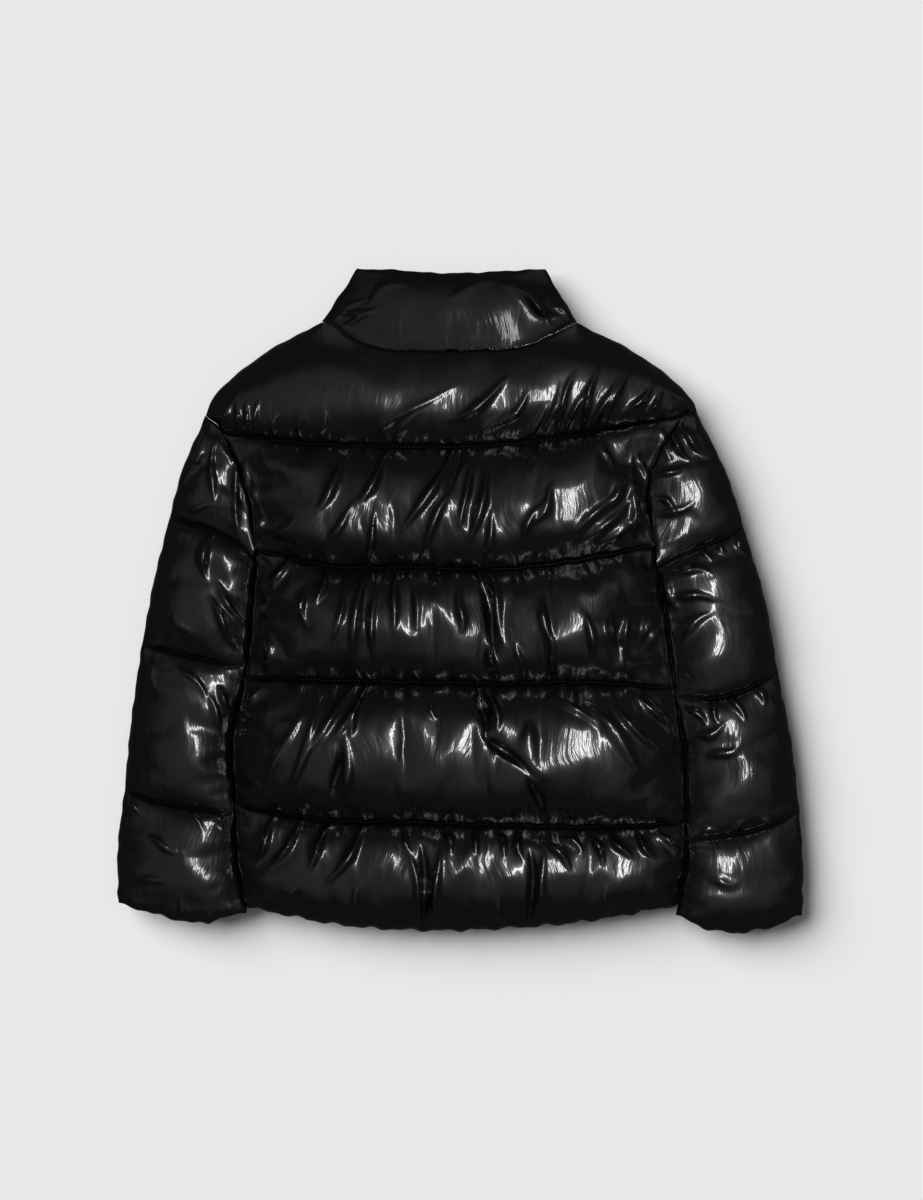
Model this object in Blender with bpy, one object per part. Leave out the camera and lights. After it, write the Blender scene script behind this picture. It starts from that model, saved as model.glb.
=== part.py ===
"""A quilted puffer jacket, zipped up and laid front down, so that its back is uppermost.

The collar points along +Y, the hem along -Y, and the wearer's left is at -X. The jacket rests on z = 0.
Every padded baffle is a wall of its own: the back panels lie on the front panels along a level inner plane,
and each sleeve is an upper and an under piece that meet at its two folds. Tables are in millimetres.
"""

import math

import bmesh
import bpy
import numpy as np
from mathutils import Matrix, Vector

MM = 0.001
SEAM_GAP = 0.4  # between two pieces that are sewn together
SLEEVE_CLEARANCE = 0.5  # between the body's side and the sleeve that lies beside it
INNER_PLANE_Z = 26.0  # where the back panels lie on the front panels
LAYER_GAP = 0.8  # air between those two layers
FLOOR_Z = 0.0

# Heights of a panel's outer face above the inner plane.
EDGE_HEIGHT = 1.4  # at a fold or side seam, where the padding thins out
QUILT_HEIGHT = 5.0  # at a quilting seam
ARMHOLE_HEIGHT = 9.0
NECK_HEIGHT = 9.0
TURNED_HEIGHT = 6.0  # at a hem, cuff or collar edge, where the cloth is turned over
SIDE_ROLL = 55.0  # width over which a body panel rises from its side
SLEEVE_ROLL = 45.0
SHOULDER_ROLL = 60.0
FRONT_CROWN = 34.0  # padding of the under layer, before the surface below flattens it

# The sides of the body, from the shoulder tip to the hem: a row for each station.
# station, left x, left y, right x, right y
BODY_SIDES = (
    ("shoulder tip", -269, 196, 251, 196),
    ("yoke seam", -251, 177, 234, 194),
    ("chest", -227, 118, 199, 126),
    ("chest seam", -218, 55, 205, 59),
    ("middle", -222, -10, 217, -20),
    ("middle seam", -229, -81, 226, -93),
    ("waist", -243, -147, 236, -165),
    ("waist seam", -239, -214, 238, -234),
    ("hem baffle", -238, -268, 236, -280),
    ("hem edge", -228, -323, 228, -322),
)

# The seams across the body: the height y of each at six even steps from its left end to its right end.
# seam, station of its ends, y at 0, y at 0.2, y at 0.4, y at 0.6, y at 0.8, y at 1
BODY_SEAMS = {
    "yoke": (1, 177, 166, 163, 165, 177, 194),
    "chest": (3, 55, 36, 36, 33, 43, 59),
    "middle": (5, -81, -84, -86, -87, -86, -93),
    "waist": (7, -214, -231, -234, -237, -239, -234),
    "hem": (9, -323, -342, -349, -347, -339, -322),
}

NECK_LEFT_X, NECK_RIGHT_X = -145, 122
BACK_NECK = (295, 269, 265, 266, 270, 294)  # y at six even steps along the neck seam
FRONT_NECK_DROP = 20  # how much lower the neck seam runs at the front
COLLAR_TOP_LEFT_X, COLLAR_TOP_RIGHT_X = -110, 90
COLLAR_TOP = (351, 350, 347, 347, 349, 351)
COLLAR_SIDE_MIDDLE = ((-129, 322), (107, 322))

# The sleeves: a row for each station down the sleeve. Even rows are seams or ends, odd rows the middles.
# station, left outer x, left outer y, left inner y, right outer x, right outer y, right inner y
SLEEVE_STATIONS = (
    ("cap top", -269, 196, 177, 251, 196, 194),
    ("cap middle", -293, 142, 118, 279, 139, 126),
    ("cap seam", -307, 88, 48, 299, 78, 37),
    ("upper middle", -324, 21, -10, 322, 1, -25),
    ("upper seam", -337, -46, -69, 335, -76, -101),
    ("lower middle", -348, -124, -147, 349, -149, -174),
    ("lower seam", -355, -201, -224, 358, -224, -254),
    ("cuff middle", -362, -261, -275, 362, -280, -290),
    ("cuff edge", -361, -320, -330, 361, -332, -334),
)

# How far each sleeve seam dips below the straight line between its ends, at a third and at two thirds
# of the way from the outer fold to the inner one.
# seam, left third, left two thirds, right third, right two thirds
SLEEVE_SEAM_DIPS = (
    ("cap top", 0, 0, 0, 0),
    ("cap seam", -5, -7, 1, 0),
    ("upper seam", 1, 2, 10, 10),
    ("lower seam", 4, 3, 6, 4),
    ("cuff edge", 10, 15, 16, 17),
)

# panel, crown of the back panel above the quilting seams
BODY_CROWNS = {"yoke": 30, "chest": 34, "middle": 35, "waist": 37, "hem": 31}
SLEEVE_CROWNS = {"cap": 24, "upper": 26, "lower": 26, "cuff": 23}
COLLAR_CROWN = 15

# The deepest folds of the back, as soft troughs that run down a panel.
# panel, share across at the top, share across at the bottom, depth, half width
BACK_FOLDS = (
    ("yoke", 0.60, 0.38, 4, 13),
    ("chest", 0.47, 0.38, 7, 12),
    ("chest", 0.57, 0.57, 6, 11),
    ("middle", 0.56, 0.60, 8, 12),
    ("middle", 0.27, 0.25, 5, 11),
    ("waist", 0.55, 0.69, 9, 13),
    ("waist", 0.32, 0.24, 8, 12),
    ("hem", 0.25, 0.08, 5, 12),
    ("hem", 0.42, 0.44, 6, 11),
    ("hem", 0.67, 0.66, 6, 11),
)

SHOULDER_COLUMNS, NECK_COLUMNS = 7, 14
FRONT_COLUMNS = (4, 4)
BAFFLE_ROWS = 8
SLEEVE_COLUMNS, SLEEVE_ROWS = 6, 8
COLLAR_ROWS = 6

# The zip runs down the middle of the front, from the collar's top edge to the hem.
ZIP_TOP, ZIP_BOTTOM = (-10, 336), (0, -338)
ZIP_HALF_WIDTH = 6.5  # from the zip's centre line to each front panel
TAPE_HALF_WIDTH, TAPE_THICKNESS, TAPE_Z = 6.0, 1.0, 21.0
CHAIN_HALF_WIDTH, CHAIN_THICKNESS = 3.0, 2.6
SLIDER_WIDTH, SLIDER_LENGTH, SLIDER_PLATE = 10.5, 13.0, 1.5
SLIDER_CLEARANCE = 0.5  # between the slider's plates and the chain
HINGE_DROP = 2.0  # from the slider's lower face down to the pull's axis
ARCH_INNER_RADIUS, ARCH_OUTER_RADIUS, ARCH_WIDTH = 1.5, 2.7, 3.0
PULL_BAR_RADIUS, PULL_THICKNESS = 1.0, 1.6
PULL_REST_ANGLE = 27.3  # degrees: it hangs from the slider until its tip rests on the surface below
PULL_LENGTH, PULL_WIDTH, PULL_WINDOW_WIDTH, PULL_WINDOW_LENGTH = 32.0, 7.5, 4.4, 3.6


def through(values, t):
    """A smooth curve through evenly spaced values, at t from 0 to 1."""
    last = len(values) - 1
    place = min(max(t, 0.0), 1.0) * last
    i = min(int(place), last - 1)
    f = place - i
    a, b = values[i], values[i + 1]
    before = values[i - 1] if i > 0 else 2 * a - b
    after = values[i + 2] if i + 2 <= last else 2 * b - a
    slope_a, slope_b = (b - before) / 2, (after - a) / 2
    cubed, squared = f**3, f**2
    return (
        (2 * cubed - 3 * squared + 1) * a
        + (cubed - 2 * squared + f) * slope_a
        + (3 * squared - 2 * cubed) * b
        + (cubed - squared) * slope_b
    )


def between(a, b, t):
    return a + (b - a) * t


def roll(distance, width):
    """How full a padded edge is at this distance from it, as a quarter ellipse: 0 at the edge, 1 past width."""
    t = min(1.0, max(0.0, distance / width))
    return math.sqrt(t * (2 - t))


def body_side(right, station):
    """The point (x, y) of the body's left or right side at a station, which may lie between two rows."""
    first = 3 if right else 1
    t = station / (len(BODY_SIDES) - 1)
    return tuple(through([row[first + k] for row in BODY_SIDES], t) for k in (0, 1))


def side_x(right, y):
    """The x of the body's side at the height y."""
    steps = np.linspace(0, len(BODY_SIDES) - 1, 181)
    points = [body_side(right, s) for s in steps]
    ys = [p[1] for p in points][::-1]
    xs = [p[0] for p in points][::-1]
    return float(np.interp(y, ys, xs))


def body_seam(name, t):
    """The point at t, from 0 at the left side to 1 at the right one, on a seam across the body."""
    station, *heights = BODY_SEAMS[name]
    left_x, right_x = body_side(False, station)[0], body_side(True, station)[0]
    return between(left_x, right_x, t), through(heights, t)


def zip_x(y):
    (top_x, top_y), (bottom_x, bottom_y) = ZIP_TOP, ZIP_BOTTOM
    return between(top_x, bottom_x, (top_y - y) / (top_y - bottom_y))


def shoulder_y(t, neck_y, tip_y):
    """The shoulder's outline: a line from the neck that rounds down into an arc at the tip, at t from 0 to 1."""
    return neck_y + (tip_y - neck_y) * (t + 1 - math.sqrt(1 - t * t)) / 2


def neck_y(x, front):
    t = (x - NECK_LEFT_X) / (NECK_RIGHT_X - NECK_LEFT_X)
    drop = FRONT_NECK_DROP * math.sin(math.pi * t) if front else 0
    return through(BACK_NECK, t) - drop


def yoke_top_y(x, front):
    """The yoke's upper outline: left shoulder, neck seam, right shoulder."""
    (left_x, left_y), (right_x, right_y) = body_side(False, 0), body_side(True, 0)
    if x < NECK_LEFT_X:
        return shoulder_y((NECK_LEFT_X - x) / (NECK_LEFT_X - left_x), BACK_NECK[0], left_y)
    if x > NECK_RIGHT_X:
        return shoulder_y((x - NECK_RIGHT_X) / (right_x - NECK_RIGHT_X), BACK_NECK[-1], right_y)
    return neck_y(x, front)


def spread(breaks, counts):
    """Fractions from 0 to 1 that hit every break, with counts[i] even steps up to break i."""
    found = [0.0]
    for end, count in zip(breaks, counts, strict=True):
        start = found[-1]
        found += [between(start, end, (k + 1) / count) for k in range(count)]
    return found


def rounded_steps(count):
    """Fractions from 0 to 1, closer together near both ends, where a padded wall is steepest."""
    even = [k / count for k in range(count + 1)]
    return [between(t, (1 - math.cos(math.pi * t)) / 2, 0.75) for t in even]


def patch(top, bottom, left, right, u, v):
    """A point inside four boundary curves, each a function of 0 to 1 that gives (x, y)."""
    t, b, le, ri = top(u), bottom(u), left(v), right(v)
    corners = (top(0), top(1), bottom(0), bottom(1))
    found = []
    for k in (0, 1):
        across = between(le[k], ri[k], u)
        down = between(t[k], b[k], v)
        flat = between(
            between(corners[0][k], corners[1][k], u),
            between(corners[2][k], corners[3][k], u),
            v,
        )
        found.append(across + down - flat)
    return found


def outer_height(u, v, size, shape):
    """How far the outer face stands off the inner plane: edge heights, blended inwards, plus the padding."""
    width, height = size
    from_top, from_bottom = v * height, (1 - v) * height
    from_left, from_right = u * width, (1 - u) * width
    half = height / 2
    top = shape["top"](u) if callable(shape["top"]) else shape["top"]
    base = QUILT_HEIGHT
    for edge, distance, reach in (
        (top, from_top, half),
        (shape["bottom"], from_bottom, half),
        (shape["left"], from_left, shape["roll"]),
        (shape["right"], from_right, shape["roll"]),
    ):
        base += (edge - QUILT_HEIGHT) * (1 - roll(distance, reach))
    fullness = (
        roll(from_top, half)
        * roll(from_bottom, half)
        * roll(from_left, shape["roll"])
        * roll(from_right, shape["roll"])
    )
    trough = 0.0
    for at_top, at_bottom, depth, half_width in shape.get("folds", ()):
        away = (u - between(at_top, at_bottom, v)) * width / half_width
        trough += depth * math.exp(-away * away) * fullness
    return max(EDGE_HEIGHT, base + shape["crown"] * fullness - trough)


def panel(name, material, outline, columns, rows, shape, under=False):
    """One padded wall: a grid laid over the outline, raised to its padded height and drawn back to the inner plane."""
    top, bottom, left, right = outline
    mesh = bmesh.new()
    bmesh.ops.create_grid(
        mesh, x_segments=len(columns) - 1, y_segments=len(rows) - 1, size=1
    )
    inner_z = INNER_PLANE_Z + (-LAYER_GAP if under else LAYER_GAP) / 2
    outer_face = mesh.faces[:]
    for vertex in mesh.verts:
        column = round((vertex.co.x + 1) / 2 * (len(columns) - 1))
        row = round((1 - vertex.co.y) / 2 * (len(rows) - 1))
        u, v = columns[column], rows[row]
        width = math.dist(left(v), right(v))
        height = math.dist(top(u), bottom(u))
        inset_u, inset_v = SEAM_GAP / 2 / width, SEAM_GAP / 2 / height
        x, y = patch(
            top, bottom, left, right, between(inset_u, 1 - inset_u, u), between(inset_v, 1 - inset_v, v)
        )
        off_plane = outer_height(u, v, (width, height), shape)
        z = max(FLOOR_Z, inner_z - off_plane) if under else inner_z + off_plane
        vertex.co = (x * MM, y * MM, z * MM)
    drawn = bmesh.ops.extrude_face_region(mesh, geom=outer_face)["geom"]
    for vertex in (part for part in drawn if isinstance(part, bmesh.types.BMVert)):
        vertex.co.z = inner_z * MM
    inner_face = [part for part in drawn if isinstance(part, bmesh.types.BMFace)]
    bmesh.ops.dissolve_faces(mesh, faces=inner_face)
    bmesh.ops.recalc_face_normals(mesh, faces=mesh.faces[:])
    return place(name, mesh, material)


def place(name, mesh, material, parent=None):
    """Turns a bmesh into a named object in the jacket's collection."""
    data = bpy.data.meshes.new(name)
    mesh.to_mesh(data)
    mesh.free()
    data.materials.append(material)
    data.shade_smooth()
    data.set_sharp_from_angle(angle=math.radians(40))
    obj = bpy.data.objects.new(name, data)
    bpy.data.collections["puffer_jacket"].objects.link(obj)
    obj.parent = parent
    return obj


def make_material(name, colour, roughness, metallic=0.0):
    made = bpy.data.materials.new(name)
    made.use_nodes = True
    shader = made.node_tree.nodes["Principled BSDF"]
    shader.inputs["Base Color"].default_value = (*colour, 1.0)
    shader.inputs["Roughness"].default_value = roughness
    shader.inputs["Metallic"].default_value = metallic
    made.diffuse_color = (*colour, 1.0)
    return made


def back_body(cloth):
    """The yoke and the four baffles of the back, each from one seam to the next."""
    left_x, right_x = body_side(False, 0)[0], body_side(True, 0)[0]
    neck = [(x - left_x) / (right_x - left_x) for x in (NECK_LEFT_X, NECK_RIGHT_X)]
    columns = spread((*neck, 1.0), (SHOULDER_COLUMNS, NECK_COLUMNS, SHOULDER_COLUMNS))

    def yoke_top(t):
        x = between(left_x, right_x, t)
        return x, yoke_top_y(x, front=False)

    def yoke_top_height(t):
        return NECK_HEIGHT if neck[0] < t < neck[1] else EDGE_HEIGHT

    tops = {"yoke": yoke_top}
    names = list(BODY_SEAMS)
    for above, below in zip(names, names[1:], strict=False):
        tops[below] = lambda t, seam=above: body_seam(seam, t)
    stations = [0] + [BODY_SEAMS[name][0] for name in names]
    for i, name in enumerate(names):
        start, end = stations[i], stations[i + 1]
        at_armhole = name == "chest"
        shape = {
            "crown": BODY_CROWNS[name],
            "top": yoke_top_height if name == "yoke" else QUILT_HEIGHT,
            "bottom": TURNED_HEIGHT if name == "hem" else QUILT_HEIGHT,
            "left": ARMHOLE_HEIGHT if at_armhole else EDGE_HEIGHT,
            "right": ARMHOLE_HEIGHT if at_armhole else EDGE_HEIGHT,
            "roll": SHOULDER_ROLL if name == "yoke" else SIDE_ROLL,
            "folds": [fold[1:] for fold in BACK_FOLDS if fold[0] == name],
        }
        outline = (
            tops[name],
            lambda t, seam=name: body_seam(seam, t),
            lambda t, a=start, b=end: body_side(False, between(a, b, t)),
            lambda t, a=start, b=end: body_side(True, between(a, b, t)),
        )
        panel(f"{name}_back", cloth, outline, columns, rounded_steps(BAFFLE_ROWS), shape)


def front_edge(curve, right):
    """Cuts a curve across the whole body down to one front: from its side to the zip."""

    def cut(t):
        reach = 0.5
        for _ in range(6):
            x, y = curve(reach)
            stop = zip_x(y) + (ZIP_HALF_WIDTH if right else -ZIP_HALF_WIDTH)
            whole = curve(1)[0] - curve(0)[0]
            reach += (stop - x) / whole
        return curve(between(reach, 1, t) if right else between(0, reach, t))

    return cut


def front_body(cloth):
    """Each front is cut like the back, in a yoke and four baffles, and stops at the zip."""
    names = list(BODY_SEAMS)
    stations = [0] + [BODY_SEAMS[name][0] for name in names]
    left_x, right_x = body_side(False, 0)[0], body_side(True, 0)[0]

    def yoke_top(t):
        x = between(left_x, right_x, t)
        return x, yoke_top_y(x, front=True)

    for right in (False, True):
        curves = [yoke_top] + [lambda t, seam=name: body_seam(seam, t) for name in names]
        edges = [front_edge(curve, right) for curve in curves]
        start_x, end_x = edges[0](0)[0], edges[0](1)[0]
        corner_x = NECK_RIGHT_X if right else NECK_LEFT_X
        columns = spread(((corner_x - start_x) / (end_x - start_x), 1.0), FRONT_COLUMNS)
        for i, name in enumerate(names):
            side = (
                lambda t, a=stations[i], b=stations[i + 1]: body_side(right, between(a, b, t))
            )
            middle = zip_edge(edges[i], edges[i + 1], right)
            outline = (edges[i], edges[i + 1], *((middle, side) if right else (side, middle)))
            side_height = ARMHOLE_HEIGHT if name == "chest" else EDGE_HEIGHT
            heights = (QUILT_HEIGHT, side_height) if right else (side_height, QUILT_HEIGHT)
            shape = {
                "crown": FRONT_CROWN,
                "top": EDGE_HEIGHT if name == "yoke" else QUILT_HEIGHT,
                "bottom": TURNED_HEIGHT if name == "hem" else QUILT_HEIGHT,
                "left": heights[0],
                "right": heights[1],
                "roll": SIDE_ROLL / 2,
            }
            label = f"{name}_front_{'right' if right else 'left'}"
            panel(label, cloth, outline, columns, rounded_steps(BAFFLE_ROWS), shape, under=True)


def zip_edge(top, bottom, right):
    """The straight edge beside the zip, between two seams of one front."""
    end = 0 if right else 1

    def edge(t):
        (top_x, top_y), (bottom_x, bottom_y) = top(end), bottom(end)
        return between(top_x, bottom_x, t), between(top_y, bottom_y, t)

    return edge


def sleeve_point(right, row, inner):
    """A sleeve's outer fold at a row of its table, or its inner fold, which lies along the body's side."""
    _, left_x, left_y, left_inner_y, right_x, right_y, right_inner_y = SLEEVE_STATIONS[row]
    if not inner:
        return (right_x + SLEEVE_CLEARANCE, right_y) if right else (left_x - SLEEVE_CLEARANCE, left_y)
    y = right_inner_y if right else left_inner_y
    return side_x(right, y) + (SLEEVE_CLEARANCE if right else -SLEEVE_CLEARANCE), y


def sleeve_fold(right, first_row, inner):
    """The fold of one section: the outer one curves through three stations, the inner one follows the body."""
    points = [sleeve_point(right, first_row + k, inner) for k in range(3)]

    def fold(t):
        if not inner:
            return through([p[0] for p in points], t), through([p[1] for p in points], t)
        y = through([p[1] for p in points], t)
        return side_x(right, y) + (SLEEVE_CLEARANCE if right else -SLEEVE_CLEARANCE), y

    return fold


def sleeve_seam(right, row):
    """A seam across a sleeve, from its left fold to its right one."""
    outer, inner = sleeve_point(right, row, False), sleeve_point(right, row, True)
    dips = SLEEVE_SEAM_DIPS[row // 2][3:5] if right else SLEEVE_SEAM_DIPS[row // 2][1:3]
    ends = (inner, outer) if right else (outer, inner)
    dip = (0, dips[1], dips[0], 0) if right else (0, *dips, 0)

    def seam(t):
        x = between(ends[0][0], ends[1][0], t)
        return x, between(ends[0][1], ends[1][1], t) - through(dip, t)

    return seam


def sleeves(cloth):
    """Four padded sections to a sleeve, each an upper piece and an under piece."""
    columns, rows = rounded_steps(SLEEVE_COLUMNS), rounded_steps(SLEEVE_ROWS)
    for right in (False, True):
        for i, (section, crown) in enumerate(SLEEVE_CROWNS.items()):
            outer, inner = (sleeve_fold(right, 2 * i, side) for side in (False, True))
            outline = (
                sleeve_seam(right, 2 * i),
                sleeve_seam(right, 2 * i + 2),
                *((inner, outer) if right else (outer, inner)),
            )
            inner_height = ARMHOLE_HEIGHT if section == "cap" else EDGE_HEIGHT
            heights = (inner_height, EDGE_HEIGHT) if right else (EDGE_HEIGHT, inner_height)
            for under in (False, True):
                shape = {
                    "crown": FRONT_CROWN if under else crown,
                    "top": EDGE_HEIGHT if section == "cap" else QUILT_HEIGHT,
                    "bottom": TURNED_HEIGHT if section == "cuff" else QUILT_HEIGHT,
                    "left": heights[0],
                    "right": heights[1],
                    "roll": SLEEVE_ROLL,
                }
                side = "right" if right else "left"
                layer = "front" if under else "back"
                name = f"sleeve_{side}_{section}_{layer}"
                panel(name, cloth, outline, columns, rows, shape, under)


def collar(cloth):
    """A funnel collar: one back piece over two front pieces, which stop at the zip."""

    def top(t):
        return between(COLLAR_TOP_LEFT_X, COLLAR_TOP_RIGHT_X, t), through(COLLAR_TOP, t)

    def base(front):
        def curve(t):
            x = between(NECK_LEFT_X, NECK_RIGHT_X, t)
            return x, neck_y(x, front)

        return curve

    def side(right, t):
        ends = (top(1), base(False)(1)) if right else (top(0), base(False)(0))
        points = (ends[0], COLLAR_SIDE_MIDDLE[right], ends[1])
        return tuple(through([p[k] for p in points], t) for k in (0, 1))

    shape = {
        "crown": COLLAR_CROWN,
        "top": TURNED_HEIGHT,
        "bottom": NECK_HEIGHT,
        "left": EDGE_HEIGHT,
        "right": EDGE_HEIGHT,
        "roll": SLEEVE_ROLL,
    }
    outline = (top, base(False), lambda t: side(False, t), lambda t: side(True, t))
    columns = spread((1.0,), (NECK_COLUMNS,))
    panel("collar_back", cloth, outline, columns, rounded_steps(COLLAR_ROWS), shape)
    for right in (False, True):
        edges = [front_edge(curve, right) for curve in (top, base(True))]
        middle = zip_edge(*edges, right)
        own_side = lambda t, is_right=right: side(is_right, t)
        outline = (*edges, *((middle, own_side) if right else (own_side, middle)))
        shape = {
            "crown": FRONT_CROWN,
            "top": TURNED_HEIGHT,
            "bottom": EDGE_HEIGHT,
            "left": QUILT_HEIGHT if right else EDGE_HEIGHT,
            "right": EDGE_HEIGHT if right else QUILT_HEIGHT,
            "roll": SLEEVE_ROLL / 2,
        }
        label = f"collar_front_{'right' if right else 'left'}"
        columns = spread((1.0,), (FRONT_COLUMNS[1],))
        panel(label, cloth, outline, columns, rounded_steps(COLLAR_ROWS), shape, under=True)


def block(mesh, centre, size):
    """Adds a box to a bmesh: its centre and its full size, in millimetres."""
    scale = Matrix.Diagonal((*(s * MM for s in size), 1))
    bmesh.ops.create_cube(mesh, size=1, matrix=Matrix.Translation(Vector(centre) * MM) @ scale)


def joined(name, mesh_parts, material, parent):
    """Boolean-joins several closed bmeshes into one solid, which is placed under the parent."""
    first, *others = [place(f"{name}_{i}" if i else name, m, material, parent) for i, m in enumerate(mesh_parts)]
    helpers = bpy.data.collections["helpers"]
    for other in others:
        union = first.modifiers.new(f"join {other.name}", "BOOLEAN")
        union.operation = "UNION"
        union.object = other
        bpy.data.collections["puffer_jacket"].objects.unlink(other)
        helpers.objects.link(other)
        other.hide_render = True
        other.display_type = "WIRE"
    return first


def empty_at(name, x, y, z, turn=0.0):
    holder = bpy.data.objects.new(name, None)
    holder.location = Vector((x, y, z)) * MM
    holder.rotation_euler.z = turn
    bpy.data.collections["puffer_jacket"].objects.link(holder)
    return holder


def zip_fastener(tape_cloth, metal):
    """The closed zip: tape and chain in one strip, the slider near the collar's top edge, and its pull."""
    (top_x, top_y), (bottom_x, bottom_y) = ZIP_TOP, ZIP_BOTTOM
    length = math.dist(ZIP_TOP, ZIP_BOTTOM)
    tilt = math.atan2(bottom_x - top_x, top_y - bottom_y)
    centre = empty_at("zip", (top_x + bottom_x) / 2, (top_y + bottom_y) / 2, TAPE_Z, tilt)
    tape, chain = bmesh.new(), bmesh.new()
    block(tape, (0, 0, 0), (2 * TAPE_HALF_WIDTH, length, TAPE_THICKNESS))
    block(chain, (0, 0, 0), (2 * CHAIN_HALF_WIDTH, length - 1, CHAIN_THICKNESS))
    joined("zip_chain", (tape, chain), tape_cloth, centre)

    # The slider's two plates pass over and under the chain and meet in a post just past its end.
    inside = CHAIN_THICKNESS / 2 + SLIDER_CLEARANCE
    chain_end = length / 2
    post_length = 3.0
    middle_y = chain_end + SEAM_GAP + post_length - SLIDER_LENGTH / 2
    plate_z = inside + SLIDER_PLATE / 2
    lower, upper, post = bmesh.new(), bmesh.new(), bmesh.new()
    block(lower, (0, middle_y, -plate_z), (SLIDER_WIDTH, SLIDER_LENGTH, SLIDER_PLATE))
    block(upper, (0, middle_y, plate_z), (SLIDER_WIDTH, SLIDER_LENGTH, SLIDER_PLATE))
    post_y = chain_end + SEAM_GAP + post_length / 2
    block(post, (0, post_y, 0), (SLIDER_WIDTH - 3, post_length, 2 * inside + SLIDER_PLATE))
    axis_z = -(inside + SLIDER_PLATE + HINGE_DROP)
    arch = ring(ARCH_INNER_RADIUS, ARCH_OUTER_RADIUS, ARCH_WIDTH, (0, middle_y, axis_z))
    joined("zip_slider", (lower, upper, post, arch), metal, centre)

    # The pull hangs from the arch by a round bar, pointing to the hem.
    hinge = bpy.data.objects.new("pull_hinge", None)
    hinge.location = Vector((0, middle_y, axis_z)) * MM
    hinge.rotation_euler.x = math.radians(PULL_REST_ANGLE)
    hinge.parent = centre
    bpy.data.collections["puffer_jacket"].objects.link(hinge)
    bar = bmesh.new()
    across = Matrix.Rotation(math.pi / 2, 4, "Y")
    bmesh.ops.create_cone(
        bar,
        cap_ends=True,
        segments=12,
        radius1=PULL_BAR_RADIUS * MM,
        radius2=PULL_BAR_RADIUS * MM,
        depth=(PULL_WIDTH - 0.5) * MM,
        matrix=across,
    )
    thick = PULL_THICKNESS
    rail_width = (PULL_WIDTH - PULL_WINDOW_WIDTH) / 2
    rail_x = (PULL_WINDOW_WIDTH + rail_width) / 2
    rails = []
    for side in (-1, 1):
        rail = bmesh.new()
        rail_length = PULL_WINDOW_LENGTH + 4
        block(rail, (side * rail_x, 0.7 - rail_length / 2, 0), (rail_width, rail_length, thick))
        rails.append(rail)
    tab = bmesh.new()
    tab_length = PULL_LENGTH - PULL_WINDOW_LENGTH
    block(tab, (0, -PULL_WINDOW_LENGTH - tab_length / 2, 0), (PULL_WIDTH, tab_length, thick))
    bmesh.ops.bevel(
        tab,
        geom=[e for e in tab.edges if is_far_corner(e, thick)],
        offset=1.6 * MM,
        segments=3,
        affect="EDGES",
    )
    joined("zip_pull", (tab, *rails, bar), metal, hinge)


def is_far_corner(edge, thick):
    """Whether an edge is one of the two upright corners at the pull's free end."""
    a, b = (vertex.co for vertex in edge.verts)
    return abs(a.z - b.z) > thick * MM / 2 and a.y < -PULL_LENGTH * MM * 0.9


def ring(inner, outer, width, centre):
    """A ring about the X axis: the arch of the slider, whose upper half sinks into the lower plate."""
    mesh = bmesh.new()
    segments = 20
    half = width / 2
    profile = ((-half, inner), (half, inner), (half, outer), (-half, outer))
    corners = [mesh.verts.new(Vector((x, r, 0)) * MM) for x, r in profile]
    edges = [mesh.edges.new((corners[i], corners[(i + 1) % 4])) for i in range(4)]
    bmesh.ops.spin(
        mesh,
        geom=edges,
        cent=(0, 0, 0),
        axis=(1, 0, 0),
        angle=2 * math.pi,
        steps=segments,
        use_merge=True,
    )
    bmesh.ops.remove_doubles(mesh, verts=mesh.verts[:], dist=1e-6)
    bmesh.ops.recalc_face_normals(mesh, faces=mesh.faces[:])
    bmesh.ops.translate(mesh, vec=Vector(centre) * MM, verts=mesh.verts[:])
    return mesh


def main():
    for obj in list(bpy.data.objects):
        bpy.data.objects.remove(obj)
    for name in ("puffer_jacket", "helpers"):
        collection = bpy.data.collections.new(name)
        bpy.context.scene.collection.children.link(collection)
    bpy.data.collections["helpers"].hide_render = True
    cloth = make_material("glossy_nylon", (0.012, 0.012, 0.014), 0.25)
    tape_cloth = make_material("zip_tape", (0.015, 0.015, 0.016), 0.6)
    metal = make_material("black_zip_metal", (0.03, 0.03, 0.032), 0.3, metallic=1.0)
    back_body(cloth)
    front_body(cloth)
    sleeves(cloth)
    collar(cloth)
    zip_fastener(tape_cloth, metal)


main()
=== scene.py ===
"""A glossy black quilted puffer jacket, zipped up and laid out on its front, seen from straight above."""

import math

import bpy
import numpy as np
from mathutils import Matrix, Vector


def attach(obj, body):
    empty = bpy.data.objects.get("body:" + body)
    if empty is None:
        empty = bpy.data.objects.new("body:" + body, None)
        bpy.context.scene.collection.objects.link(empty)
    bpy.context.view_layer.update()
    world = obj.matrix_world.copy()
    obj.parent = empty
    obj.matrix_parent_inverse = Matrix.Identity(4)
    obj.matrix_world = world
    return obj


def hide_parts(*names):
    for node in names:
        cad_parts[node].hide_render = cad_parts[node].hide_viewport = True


MM = 0.001
INNER_PLANE_Z = 26.0  # where the back panels lie on the front ones, in mm
LAYER_GAP = 0.8
SEAM_GAP = 0.12
SLEEVE_CLEARANCE = 0.5  # between the sleeves and the body

# How high each kind of edge stands above the inner plane, and the lowest that the cloth comes to it.
FREE_EDGE, SEAM_EDGE, TURNED_EDGE, ARMHOLE_EDGE, LOWEST_EDGE = 1.4, 5.0, 6.0, 9.0, 1.2

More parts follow.
